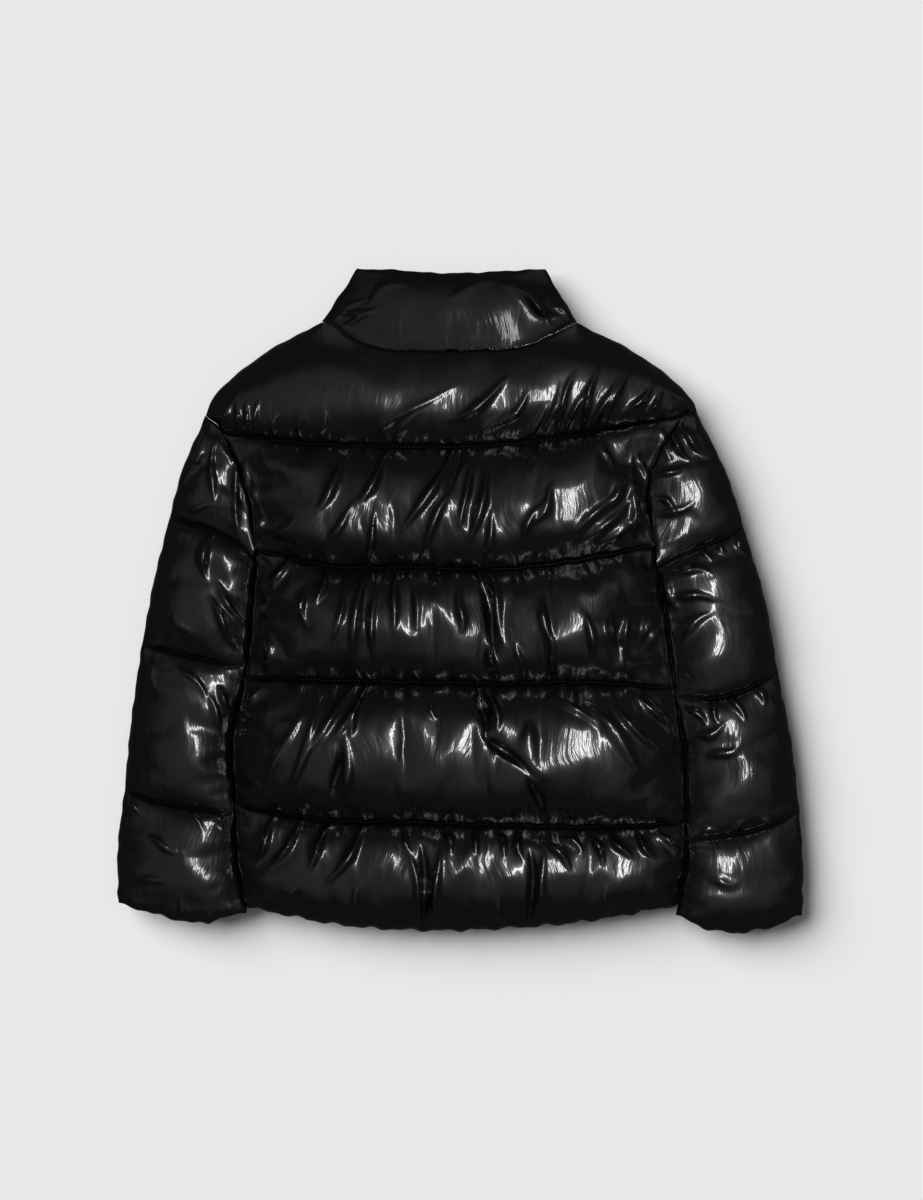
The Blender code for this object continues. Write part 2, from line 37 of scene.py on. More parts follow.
# The pattern, in millimetres, as the jacket lies. station, left x, left y, right x, right y
BODY_SIDES = (
    ("shoulder tip", -269, 196, 251, 196),
    ("yoke seam", -251, 177, 234, 194),
    ("chest", -227, 118, 199, 126),
    ("chest seam", -218, 55, 205, 59),
    ("middle", -222, -10, 217, -20),
    ("middle seam", -229, -81, 226, -93),
    ("waist", -243, -147, 236, -165),
    ("waist seam", -239, -214, 238, -234),
    ("hem baffle", -238, -268, 236, -280),
    ("hem edge", -228, -323, 228, -322),
)
# seam: station of its ends, then its height y at six even steps from the left side to the right
BODY_SEAMS = {
    "yoke": (1, 177, 166, 163, 165, 177, 194),
    "chest": (3, 55, 36, 36, 33, 43, 59),
    "middle": (5, -81, -84, -86, -87, -86, -93),
    "waist": (7, -214, -231, -234, -237, -239, -234),
    "hem": (9, -323, -342, -349, -347, -339, -322),
}
NECK_LEFT_X, NECK_RIGHT_X = -145, 122
BACK_NECK = (295, 269, 265, 266, 270, 294)
FRONT_NECK_DROP = 20
NECK_HEIGHT = 16.0
COLLAR_TOP_LEFT_X, COLLAR_TOP_RIGHT_X = -110, 90
COLLAR_TOP = (351, 350, 347, 347, 349, 351)
COLLAR_SIDE_MIDDLE = ((-129, 322), (107, 322))
# station, left outer x, left outer y, left inner y, right outer x, right outer y, right inner y
SLEEVE_STATIONS = (
    ("cap top", -269, 196, 177, 251, 196, 194),
    ("cap middle", -293, 142, 118, 279, 139, 126),
    ("cap seam", -307, 88, 48, 299, 78, 37),
    ("upper middle", -324, 21, -10, 322, 1, -25),
    ("upper seam", -337, -46, -69, 335, -76, -101),
    ("lower middle", -348, -124, -147, 349, -149, -174),
    ("lower seam", -355, -201, -224, 358, -224, -254),
    ("cuff middle", -362, -261, -275, 362, -280, -290),
    ("cuff edge", -361, -320, -330, 361, -332, -334),
)
# seam, left third, left two thirds, right third, right two thirds: how far it dips below a straight line
SLEEVE_SEAM_DIPS = (
    ("cap top", 0, 0, 0, 0),
    ("cap seam", -5, -7, 1, 0),
    ("upper seam", 1, 2, 10, 10),
    ("lower seam", 4, 3, 6, 4),
    ("cuff edge", 10, 15, 16, 17),
)
ZIP_TOP, ZIP_BOTTOM, ZIP_HALF_WIDTH = (-10, 336), (0, -338), 6.5

# How each section is padded. section, crown above the seams, spare length down it, spare width across it
PADDING = {
    "yoke": (27, 0.13, 0.015),
    "chest": (29, 0.17, 0.05),
    "middle": (30, 0.19, 0.06),
    "waist": (31, 0.16, 0.05),
    "hem": (26, 0.15, 0.06),
    "cap": (20, 0.08, 0.04),
    "upper": (22, 0.10, 0.04),
    "lower": (22, 0.09, 0.025),
    "cuff": (19, 0.08, 0.02),
    "collar": (7, 0.05, 0.01),
}

# The folds that show, as ridges (+) and troughs (-) in the cut cloth, before it is sewn and filled.
# from x, from y, to x, to y, height, half width
FOLDS = (
    # yoke
    (-98, 168, -14, 224, 4, 6), (-84, 166, -40, 196, 3, 5), (-14, 186, 46, 228, 9, 7),
    (20, 172, 48, 200, 5, 5), (39, 182, 68, 214, 8, 6), (58, 168, 90, 199, 7, 5),
    (84, 172, 104, 222, 6, 4), (97, 172, 118, 234, 8, 5), (108, 172, 130, 222, 7, 4),
    (124, 172, 143, 238, 9, 5), (136, 174, 163, 236, 8, 5), (153, 186, 173, 241, 8, 5),
    (173, 194, 199, 226, 8, 5), (193, 196, 213, 220, 6, 4), (-250, 180, -241, 214, 6, 5),
    (-238, 178, -234, 213, 6, 4), (-228, 177, -222, 206, 6, 4), (-216, 176, -212, 210, 5, 4),
    (-198, 174, -192, 198, 5, 4), (-172, 172, -165, 192, 4, 4), (-150, 170, -142, 195, 4, 4),
    # chest
    (-156, 92, -116, 146, 8, 7), (-148, 58, -110, 100, 6, 6), (-112, 98, -75, 152, 9, 6),
    (-103, 38, -88, 88, 8, 5), (-60, 70, -7, 160, 10, 6), (-46, 38, 2, 140, 7, 6),
    (-24, 92, -2, 150, -8, 5), (2, 74, 8, 150, 8, 5), (12, 60, 26, 138, 10, 6),
    (22, 40, 34, 90, 6, 5), (62, 60, 86, 102, 7, 6), (76, 80, 96, 118, 8, 6),
    (118, 62, 166, 122, 6, 7), (128, 56, 176, 110, 7, 7), (146, 52, 184, 96, 6, 7), (150, 96, 182, 138, 7, 8),
    (176, 60, 184, 146, 8, 7), (186, 158, 196, 124, 7, 4),
    (194, 116, 190, 84, 7, 4), (-232, 150, -222, 100, 7, 5), (-222, 132, -208, 96, 6, 5),
    (-214, 96, -206, 66, 6, 5), (150, 164, 158, 138, 5, 4), (-196, 60, -178, 86, 4, 6),
    # middle
    (-196, 10, -183, 46, 8, 5), (-168, 14, -160, -24, 8, 5), (-150, -6, -144, 28, 7, 5),
    (-132, -44, -124, 10, 6, 5), (-118, -68, -97, 32, 10, 6), (-90, -66, -90, 16, 6, 5),
    (-74, -34, -62, 32, 9, 6), (-42, -32, -54, 24, 5, 6), (-3, -34, 3, 10, 7, 7),
    (18, 30, 37, -44, -14, 6), (28, 30, 47, -40, 9, 6), (32, -42, 36, -82, 9, 5),
    (85, 4, 95, -46, 9, 6), (92, -42, 101, -82, 8, 4), (133, -12, 136, -58, 9, 5),
    (156, -8, 161, -48, 9, 5), (173, -8, 172, -66, 8, 5), (186, -44, 202, -10, 8, 4),
    (196, -52, 210, -24, 8, 4), (-206, -30, -200, -76, 5, 6), (60, -40, 64, -80, 5, 5),
    # waist
    (-184, -204, -148, -114, 9, 6), (-206, -206, -170, -120, 7, 6), (-174, -168, -108, -92, 8, 6),
    (-140, -154, -98, -90, 9, 5), (-122, -210, -119, -144, 11, 6), (-132, -206, -128, -150, -9, 5),
    (-119, -142, -106, -112, 9, 5), (24, -92, 24, -136, -13, 6), (24, -134, 70, -182, -13, 6),
    (70, -180, 86, -230, -11, 6), (34, -96, 36, -134, 8, 6), (66, -126, 86, -180, 9, 12),
    (126, -108, 192, -178, 11, 10), (158, -100, 208, -168, 9, 6), (186, -96, 220, -140, 8, 5),
    (96, -96, 140, -130, 6, 5), (-32, -106, -26, -124, 5, 4), (-228, -104, -210, -96, 6, 5),
    # hem
    (-219, -278, -192, -226, 9, 5), (-202, -282, -166, -234, 9, 5), (-164, -282, -133, -236, 9, 6),
    (-140, -298, -100, -236, 9, 6), (-44, -252, -34, -348, -11, 6), (-24, -258, -22, -348, 9, 6),
    (-54, -262, -42, -346, 7, 6), (72, -258, 74, -346, -11, 6), (84, -262, 92, -344, 7, 7),
    (40, -306, 46, -346, 7, 5), (88, -250, 112, -278, 10, 5), (106, -246, 126, -262, 8, 5),
    (134, -246, 150, -272, 9, 5), (158, -246, 176, -270, 9, 5), (182, -246, 204, -268, 8, 5),
    (206, -244, 228, -266, 8, 4), (-60, -242, -52, -262, 6, 5), (-18, -244, -8, -262, 7, 5),
    (10, -244, 20, -262, 7, 5), (36, -244, 48, -264, 8, 5), (56, -244, 66, -268, 8, 5),
    (-120, -330, -104, -300, 5, 6), (-180, -322, -170, -296, 5, 6), (150, -334, 156, -300, 5, 6),
    # left sleeve
    (-292, 126, -266, 184, 6, 6), (-262, 100, -258, 168, 6, 5), (-240, 158, -232, 70, 6, 5),
    (-290, 96, -262, 100, 4, 4), (-270, 20, -262, 72, 9, 8), (-268, 4, -236, -46, 9, 6),
    (-256, 22, -232, -24, 7, 5), (-300, -10, -286, -38, 4, 8), (-298, -66, -270, -98, 6, 5),
    (-258, -90, -240, -118, 8, 5), (-268, -100, -248, -140, 6, 6), (-330, -60, -318, -92, 4, 6),
    (-262, -222, -252, -240, 6, 5), (-282, -216, -276, -238, 6, 4), (-330, -250, -294, -262, 5, 6),
    (-340, -300, -310, -288, 4, 6), (-300, -340, -290, -312, 5, 6), (-346, -206, -338, -226, 5, 4),
    # right sleeve
    (208, 180, 222, 152, 7, 5), (218, 182, 240, 150, 7, 5), (226, 184, 258, 156, 6, 5),
    (208, 128, 232, 142, 6, 5), (206, 110, 226, 96, 6, 5), (208, 84, 240, 104, 5, 6),
    (208, 28, 230, -4, 9, 6), (222, 34, 260, 28, 7, 6), (222, 10, 262, 0, 6, 6),
    (232, -40, 262, -14, 6, 7), (290, 74, 300, 52, 6, 5), (272, 66, 280, 50, 6, 5),
    (256, 58, 262, 42, 6, 5), (240, -108, 256, -130, 7, 5), (262, -100, 272, -126, 7, 5),
    (284, -92, 296, -124, 7, 5), (312, -86, 318, -110, 6, 5), (246, -142, 276, -132, 6, 7),
    (262, -170, 290, -150, 5, 8), (250, -246, 268, -242, 5, 4), (284, -240, 300, -234, 5, 4),
    (316, -234, 334, -230, 5, 4), (262, -300, 290, -292, 4, 8),
    # collar
    (44, 338, 92, 296, 8, 9), (66, 322, 100, 300, 7, 6), (-132, 300, -88, 308, 6, 4),
    (-128, 290, -92, 300, 6, 4), (-136, 296, -104, 316, 5, 4), (98, 312, 116, 298, 5, 4),
    (-100, 316, -60, 334, 3, 9), (-20, 320, 40, 334, 3, 10),
)

CLOTH_CELL, HIDDEN_CELL = 3.7, 5.6  # the cloth's mesh, where it shows and underneath, in mm
GATHER_FRAMES, SETTLE_FRAMES = 10, 24


def through(values, t):
    """A smooth curve through evenly spaced values or points, at every t from 0 to 1."""
    values = np.asarray(values, float)
    t = np.atleast_1d(np.asarray(t, float))
    last = len(values) - 1
    place = np.clip(t, 0, 1) * last
    i = np.minimum(place.astype(int), last - 1)
    f = place - i
    if values.ndim > 1:
        f = f[:, None]
    padded = np.concatenate([[2 * values[0] - values[1]], values, [2 * values[-1] - values[-2]]])
    before, a, b, after = (padded[i + k] for k in range(4))
    slope_a, slope_b = (b - before) / 2, (after - a) / 2
    cubed, squared = f**3, f**2
    return (
        (2 * cubed - 3 * squared + 1) * a
        + (cubed - 2 * squared + f) * slope_a
        + (3 * squared - 2 * cubed) * b
        + (cubed - squared) * slope_b
    )


def between(a, b, t):
    """Part of the way from a to b."""
    return a + (b - a) * t


def points(x, y):
    """Pairs of x and y, one row for each point."""
    return np.stack(np.broadcast_arrays(x, y), axis=-1).astype(float)


def body_side(right, t):
    """The side of the body, by station."""
    first = 3 if right else 1
    table = [row[first : first + 2] for row in BODY_SIDES]
    return through(table, np.asarray(t) / (len(BODY_SIDES) - 1))


def side_x(right, y):
    """How far out the side of the body lies at this height."""
    line = body_side(right, np.linspace(0, len(BODY_SIDES) - 1, 181))[::-1]
    return np.interp(y, line[:, 1], line[:, 0])


def body_seam(name, t):
    """The seam under a section, from side to side."""
    station, *heights = BODY_SEAMS[name]
    left_x, right_x = body_side(False, station)[0, 0], body_side(True, station)[0, 0]
    return points(between(left_x, right_x, t), through(heights, t))


def zip_x(y):
    """Where the zip lies at this height."""
    (top_x, top_y), (bottom_x, bottom_y) = ZIP_TOP, ZIP_BOTTOM
    return between(top_x, bottom_x, (top_y - y) / (top_y - bottom_y))


def yoke_top(t, front=False):
    """Left shoulder, neck seam, right shoulder."""
    (left_x, left_y), (right_x, right_y) = body_side(False, 0)[0], body_side(True, 0)[0]
    x = between(left_x, right_x, np.asarray(t, float))
    along_neck = np.clip((x - NECK_LEFT_X) / (NECK_RIGHT_X - NECK_LEFT_X), 0, 1)
    y = through(BACK_NECK, along_neck)
    if front:
        y = y - FRONT_NECK_DROP * np.sin(math.pi * along_neck)
    for down, neck_y, tip_y in (
        ((NECK_LEFT_X - x) / (NECK_LEFT_X - left_x), BACK_NECK[0], left_y),
        ((x - NECK_RIGHT_X) / (right_x - NECK_RIGHT_X), BACK_NECK[-1], right_y),
    ):
        s = np.clip(down, 0, 1)
        y = np.where(down > 0, neck_y + (tip_y - neck_y) * (s + 1 - np.sqrt(1 - s * s)) / 2, y)
    return points(x, y)


def front_part(curve, right):
    """Cuts a curve across the whole body down to one front, from its side to the zip."""
    t = np.linspace(0, 1, 400)
    line = curve(t)
    beyond = line[:, 0] - (zip_x(line[:, 1]) + (ZIP_HALF_WIDTH if right else -ZIP_HALF_WIDTH))
    stop = float(np.interp(0, beyond, t))
    return lambda s: curve(between(stop, 1, s) if right else between(0, stop, s))


def straight(a, b):
    """A straight line as a curve."""
    return lambda t: np.asarray(a)[None] + (np.asarray(b) - np.asarray(a))[None] * np.atleast_1d(t)[:, None]


def sleeve_point(right, row, inner):
    """One end of a sleeve station: at its outer fold, or beside the body."""
    _, left_x, left_y, left_inner_y, right_x, right_y, right_inner_y = SLEEVE_STATIONS[row]
    clearance = SLEEVE_CLEARANCE if right else -SLEEVE_CLEARANCE
    if not inner:
        return (right_x + clearance, right_y) if right else (left_x + clearance, left_y)
    y = right_inner_y if right else left_inner_y
    return side_x(right, y) + clearance, y


def sleeve_fold(right, first_row, inner):
    """One side of a sleeve section, over three stations."""
    stops = [sleeve_point(right, first_row + k, inner) for k in range(3)]

    def fold(t):
        if not inner:
            return through(stops, t)
        y = through([p[1] for p in stops], t)
        return points(side_x(right, y) + (SLEEVE_CLEARANCE if right else -SLEEVE_CLEARANCE), y)

    return fold


def sleeve_seam(right, row):
    """The seam across a sleeve at a station."""
    outer, inner = sleeve_point(right, row, False), sleeve_point(right, row, True)
    dips = SLEEVE_SEAM_DIPS[row // 2][3:5] if right else SLEEVE_SEAM_DIPS[row // 2][1:3]
    ends = (inner, outer) if right else (outer, inner)
    dip = (0, dips[1], dips[0], 0) if right else (0, *dips, 0)
    return lambda t: points(
        between(ends[0][0], ends[1][0], t),
        between(ends[0][1], ends[1][1], t) - through(dip, t),
    )


def shoulder_seam(right):
    """The top of a sleeve, along the end of the yoke."""
    return lambda t: body_side(right, 1 - np.asarray(t) if right else np.asarray(t))


def patch(outline, u, v):
    """A grid of points inside four boundary curves: top, bottom, left and right."""
    top, bottom, left, right = outline
    t, b = top(u), bottom(u)
    le, ri = left(v), right(v)
    u, v = u[None, :, None], v[:, None, None]
    down = t[None] * (1 - v) + b[None] * v
    across = le[:, None] * (1 - u) + ri[:, None] * u
    corners = (t[0] * (1 - u) + t[-1] * u) * (1 - v) + (b[0] * (1 - u) + b[-1] * u) * v
    return down + across - corners


ROLL_POWER = 0.6  # under 1 is fuller beside the seam


def roll(distance, width):
    """How full a padded edge is at this distance from it, as it rounds over and levels out."""
    t = np.clip(distance / width, 0, 1)
    return (t * (2 - t)) ** ROLL_POWER


def uneven(laid):
    """Pulls a laid-out outline slightly in and out, as thread gathers cloth, most along the hem and cuffs."""
    x, y = laid[..., 0], laid[..., 1]
    most = 0.7 + 1.3 * np.clip((-290 - y) / 45, 0, 1)
    sway_x = np.sin(x * 0.11 + 1.3) + np.sin(y * 0.19 + x * 0.05) + 0.6 * np.sin(y * 0.33 - x * 0.08 + 2)
    sway_y = np.sin(y * 0.07 + 0.4) + np.sin(x * 0.17 + y * 0.04) + 0.7 * np.sin(x * 0.31 + 5)
    return laid + (0.55 * most)[..., None] * np.stack([sway_x, sway_y], axis=-1)


def all_sections():
    """Every padded section: node, kind, whether it is an under one, outline and edge heights."""
    found = []
    names = list(BODY_SEAMS)
    stations = [0] + [BODY_SEAMS[name][0] for name in names]
    curves = [yoke_top] + [lambda t, seam=name: body_seam(seam, t) for name in names]
    front_curves = [lambda t: yoke_top(t, front=True)] + curves[1:]
    for i, name in enumerate(names):
        side = [
            lambda t, a=stations[i], b=stations[i + 1], r=r: body_side(r, between(a, b, t))
            for r in (False, True)
        ]
        armhole = {"yoke": TURNED_EDGE, "chest": ARMHOLE_EDGE}.get(name, FREE_EDGE)
        lower = TURNED_EDGE if name == "hem" else SEAM_EDGE
        heights = (SEAM_EDGE, lower, armhole, armhole)
        found.append((f"{name}_back", name, False, (curves[i], curves[i + 1], *side), heights))
        for right in (False, True):
            top, bottom = (front_part(c, right) for c in front_curves[i : i + 2])
            end = 0.0 if right else 1.0
            middle = straight(top(end)[0], bottom(end)[0])
            sides = (middle, side[1]) if right else (side[0], middle)
            edge = (SEAM_EDGE, armhole) if right else (armhole, SEAM_EDGE)
            heights = (FREE_EDGE if name == "yoke" else SEAM_EDGE, lower, *edge)
            label = f"{name}_front_{'right' if right else 'left'}"
            found.append((label, name, True, (top, bottom, *sides), heights))
    for right in (False, True):
        for i, section in enumerate(("cap", "upper", "lower", "cuff")):
            outer, inner = (sleeve_fold(right, 2 * i, side) for side in (False, True))
            sides = (inner, outer) if right else (outer, inner)
            top = shoulder_seam(right) if section == "cap" else sleeve_seam(right, 2 * i)
            outline = (top, sleeve_seam(right, 2 * i + 2), *sides)
            inner_edge = ARMHOLE_EDGE if section == "cap" else FREE_EDGE
            edge = (inner_edge, FREE_EDGE) if right else (FREE_EDGE, inner_edge)
            upper = TURNED_EDGE if section == "cap" else SEAM_EDGE
            lower = TURNED_EDGE if section == "cuff" else SEAM_EDGE
            heights = (upper, lower, *edge)
            side = "right" if right else "left"
            for under in (False, True):
                label = f"sleeve_{side}_{section}_{'front' if under else 'back'}"
                found.append((label, section, under, outline, heights))
    found += collar_sections()
    return found


def collar_sections():
    """The collar's back and its two fronts."""
    def top(t):
        return points(between(COLLAR_TOP_LEFT_X, COLLAR_TOP_RIGHT_X, t), through(COLLAR_TOP, t))

    def base(t, front=False):
        y = through(BACK_NECK, t)
        if front:
            y = y - FRONT_NECK_DROP * np.sin(math.pi * np.atleast_1d(t))
        return points(between(NECK_LEFT_X, NECK_RIGHT_X, t), y)

    ends = [(top(e)[0], base(e)[0]) for e in (0.0, 1.0)]
    side = [
        lambda t, stops=(ends[r][0], COLLAR_SIDE_MIDDLE[r], ends[r][1]): through(stops, t)
        for r in (0, 1)
    ]
    heights = (TURNED_EDGE, NECK_HEIGHT, FREE_EDGE, FREE_EDGE)
    found = [("collar_back", "collar", False, (top, base, *side), heights)]
    for right in (False, True):
        edges = [front_part(c, right) for c in (top, lambda t: base(t, front=True))]
        end = 0.0 if right else 1.0
        middle = straight(edges[0](end)[0], edges[1](end)[0])
        sides = (middle, side[1]) if right else (side[0], middle)
        edge = (SEAM_EDGE, FREE_EDGE) if right else (FREE_EDGE, SEAM_EDGE)
        label = f"collar_front_{'right' if right else 'left'}"
        found.append((label, "collar", True, (*edges, *sides), (TURNED_EDGE, FREE_EDGE, *edge)))
    return found


def fold_heights(laid, thinner=1.0):
    """The height that the table of folds adds at each point, each one tapering out at its two ends."""
    added = np.zeros(laid.shape[:2])
    for x0, y0, x1, y1, height, half_width in FOLDS:
        along = np.array((x1 - x0, y1 - y0), float)
        length = np.linalg.norm(along)
        along /= length
        away = laid - np.array((x0, y0), float)
        s = (away @ along) / length
        # a slight sway, so that no fold is ruler-straight
        sway = half_width * 0.6 * np.sin(s * 4.0 + x0 * 0.7)
        off = away @ np.array((-along[1], along[0])) - sway
        taper = np.clip(s / 0.4, 0, 1) * np.clip((1.15 - s) / 0.6, 0, 1)
        added += height * taper * np.exp(-((off / (half_width * (0.45 + 0.55 * taper) * thinner)) ** 2))
    return added


# How far from each edge a section rounds over: from its seams, from its sides, where an edge's own height
# fades out, and where the yoke rolls under beside the neck.
SEAM_ROLL, SIDE_ROLL, EDGE_FADE, SHOULDER_ROLL = 46, 40, 35, 22
# How much of the crown and of the folds the cloth has before it is filled, and how uneven it is then.
CUT_CROWN, CUT_FOLDS, CUT_WAVES = 0.55, 0.5, 0.7


def section_cloth(name, kind, under, outline, heights, number):
    """The cloth of one section: a grid in its flat cut, with the place where it lies as a shape key."""
    cell = HIDDEN_CELL if under else CLOTH_CELL
    probe = patch(outline, np.array((0.0, 0.5, 1.0)), np.array((0.0, 0.5, 1.0)))
    width = max(np.linalg.norm(probe[k, 2] - probe[k, 0]) for k in range(3))
    height = max(np.linalg.norm(probe[2, k] - probe[0, k]) for k in range(3))
    columns, rows = max(8, round(width / cell)), max(8, round(height / cell))
    u, v = np.linspace(0, 1, columns + 1), np.linspace(0, 1, rows + 1)
    crown, spare_length, spare_width = PADDING[kind]
    inset_u, inset_v = SEAM_GAP / 2 / width, SEAM_GAP / 2 / height
    across = between(inset_u, 1 - inset_u, u)
    if name == "yoke_back":  # a column of points at each end of the neck, where the outline turns a corner
        (tip_left, _), (tip_right, _) = body_side(False, 0)[0], body_side(True, 0)[0]
        for neck_end in (NECK_LEFT_X, NECK_RIGHT_X):
            turn = (neck_end - tip_left) / (tip_right - tip_left)
            across[np.argmin(np.abs(across - turn))] = turn
    laid = uneven(patch(outline, across, between(inset_v, 1 - inset_v, v)))
    from_left, from_right = u[None] * width, (1 - u[None]) * width
    from_top, from_bottom = v[:, None] * height, (1 - v[:, None]) * height
    reach = min(height / 2, SEAM_ROLL)
    fullness = (
        roll(from_top, reach)
        * roll(from_bottom, reach)
        * roll(from_left, SIDE_ROLL)
        * roll(from_right, SIDE_ROLL)
    )
    edge = SEAM_EDGE + 0 * fullness
    if name == "yoke_back":  # it stands high along the neck and rolls under along the shoulders
        x = laid[:1, :, 0]
        from_shoulders = (x - NECK_LEFT_X + SHOULDER_ROLL, NECK_RIGHT_X + SHOULDER_ROLL - x)
        neck_left, neck_right = (np.clip(away / SHOULDER_ROLL, 0, 1) for away in from_shoulders)
        heights = (between(FREE_EDGE, NECK_HEIGHT, neck_left * neck_right), *heights[1:])
    for value, distance in zip(heights, (from_top, from_bottom, from_left, from_right), strict=True):
        edge = edge + (value - SEAM_EDGE) * (1 - roll(distance, EDGE_FADE))
    edge = np.maximum(edge, LOWEST_EDGE)
    folds = fold_heights(laid) * np.minimum(1, fullness * 1.6) if not under else 0 * fullness
    chance = np.random.default_rng(number)
    waves = through(chance.normal(size=(4, columns + 1)), v) * CUT_WAVES * fullness
    pillow = edge + crown * fullness

    # The cut: the same cloth before it is gathered into its seams, flat and larger each way.
    cut = laid.copy()
    row_middle = laid.mean(axis=1, keepdims=True)
    cut[..., 0] = row_middle[..., 0] + (laid[..., 0] - row_middle[..., 0]) * (1 + spare_width)
    column_middle = laid.mean(axis=0, keepdims=True)
    cut[..., 1] = column_middle[..., 1] + (laid[..., 1] - column_middle[..., 1]) * (1 + spare_length)
    cut_height = edge + CUT_CROWN * crown * fullness + CUT_FOLDS * folds + waves
    lying = np.concatenate([laid, pillow[..., None]], axis=-1)
    flat = np.concatenate([cut, cut_height[..., None]], axis=-1)

    index = np.arange((rows + 1) * (columns + 1)).reshape(rows + 1, columns + 1)
    faces = np.stack([index[:-1, :-1], index[1:, :-1], index[1:, 1:], index[:-1, 1:]], axis=-1)
    mesh = bpy.data.meshes.new(name)
    mesh.from_pydata((flat.reshape(-1, 3) * MM).tolist(), [], faces.reshape(-1, 4).tolist())
    cloth = bpy.data.objects.new(name, mesh)
    bpy.context.scene.collection.objects.link(cloth)
    sewn = np.zeros(index.shape, bool)
    sewn[0], sewn[-1], sewn[:, 0], sewn[:, -1] = True, True, True, True
    group = cloth.vertex_groups.new(name="sewn")
    group.add([int(i) for i in index[sewn]], 1.0, "REPLACE")
    cloth.shape_key_add(name="cut")
    place = cloth.shape_key_add(name="lying")
    place.data.foreach_set("co", (lying.reshape(-1, 3) * MM).ravel())
    place.value = 0
    place.keyframe_insert("value", frame=1)
    place.value = 1
    place.keyframe_insert("value", frame=GATHER_FRAMES)
    return cloth, lying


def settle(cloths):
    """Gathers every section into its seams and fills it, all at once, as a cloth simulation."""
    for cloth in cloths:
        modifier = cloth.modifiers.new("padding", "CLOTH")
        settings = modifier.settings
        settings.vertex_group_mass = "sewn"
        settings.use_pressure = True
        settings.uniform_pressure_force = 16.0
        settings.effector_weights.gravity = 0
        settings.mass = 0.08
        settings.quality = 5
        settings.tension_stiffness = 18
        settings.compression_stiffness = 18
        settings.shear_stiffness = 8
        settings.bending_stiffness = 0.8
        settings.air_damping = 1.5
        modifier.collision_settings.use_collision = False
        modifier.point_cache.frame_start = 1
        modifier.point_cache.frame_end = SETTLE_FRAMES
    scene = bpy.context.scene
    for frame_number in range(1, SETTLE_FRAMES + 1):
        scene.frame_set(frame_number)
    depsgraph = bpy.context.evaluated_depsgraph_get()
    settled = []
    for cloth in cloths:
        mesh = cloth.evaluated_get(depsgraph).data
        found = np.zeros(len(mesh.vertices) * 3)
        mesh.vertices.foreach_get("co", found)
        settled.append(found.reshape(-1, 3) / MM)
    return settled


# The furthest that the cloth may move from where it was laid: sideways, up and down, in mm.
MOST_SWAY, MOST_RISE, MOST_SINK = 9.0, 15.0, 16.0
TALLEST, TOP_EASING = 51.0, 8.0  # the crown's limit above the inner plane, and how gently it is met
CALM_ROUNDS = 14  # how often the cloth is averaged with its neighbours to take its crumple out
SEAM_CRUMPLE, SEAM_CRUMPLE_REACH, PINNED_REACH = 0.1, 11, 9
# How much of its small crumple each section keeps away from its seams; the rest is smoothed out.
CRUMPLE = {
    "yoke": 0.12,
    "chest": 0.4,
    "middle": 0.5,
    "waist": 0.45,
    "hem": 0.35,
    "cap": 0.3,
    "upper": 0.2,
    "lower": 0.2,
    "cuff": 0.15,
    "collar": 0.06,
}


def smoothed(grid, rounds):
    """Evens out a grid by averaging every point with its neighbours, again and again."""
    for _ in range(rounds):
        for _ in range(2):
            padded = np.concatenate([grid[:1], grid, grid[-1:]])
            grid = ((padded[:-2] + 2 * padded[1:-1] + padded[2:]) / 4).swapaxes(0, 1)
    return grid


def finer(grid):
    """Puts a point between every two of a grid's, on the smooth curve through their neighbours."""
    for _ in range(2):
        first, last = 2 * grid[:1] - grid[1:2], 2 * grid[-1:] - grid[-2:-1]
        line = np.concatenate([first, grid, last])
        halfway = (9 * (line[1:-2] + line[2:-1]) - line[:-3] - line[3:]) / 16
        found = np.empty((2 * len(grid) - 1, *grid.shape[1:]))
        found[::2], found[1::2] = grid, halfway
        grid = found.swapaxes(0, 1)
    return grid


def normals(grid):
    """The outward normal at each point of a grid whose rows run down and columns run to the right."""
    down, across = np.gradient(grid, axis=0), np.gradient(grid, axis=1)
    normal = np.cross(down, across)
    return normal / np.maximum(np.linalg.norm(normal, axis=-1, keepdims=True), 1e-9)


# How tall a fold stands in the finished cloth, beside its height in the cut, and how deep one underneath
# goes. The same folds are narrower in the finished cloth by these shares.
FOLD_SHARE, HOLLOW_SHARE = 0.66, 0.5
FOLD_NARROWING, HOLLOW_NARROWING = 0.62, 0.9


def roll_from_edges(grid, reach=14):
    """0 at every edge of a grid of points and 1 from this far inside it."""
    rows, columns = grid.shape[:2]
    width = np.linalg.norm(grid[rows // 2, -1] - grid[rows // 2, 0])
    height = np.linalg.norm(grid[-1, columns // 2] - grid[0, columns // 2])
    u, v = np.linspace(0, 1, columns)[None] * width, np.linspace(0, 1, rows)[:, None] * height
    return roll(u, reach) * roll(width - u, reach) * roll(v, reach) * roll(height - v, reach)


# How tall the puckers stand along the seams of each kind of section, in mm, and along its sides.
GATHERS = {"collar": 0.2, "cap": 0.7, "upper": 0.7, "lower": 0.7, "cuff": 0.7}
BODY_GATHERS, SIDE_GATHERS = 0.9, 0.7


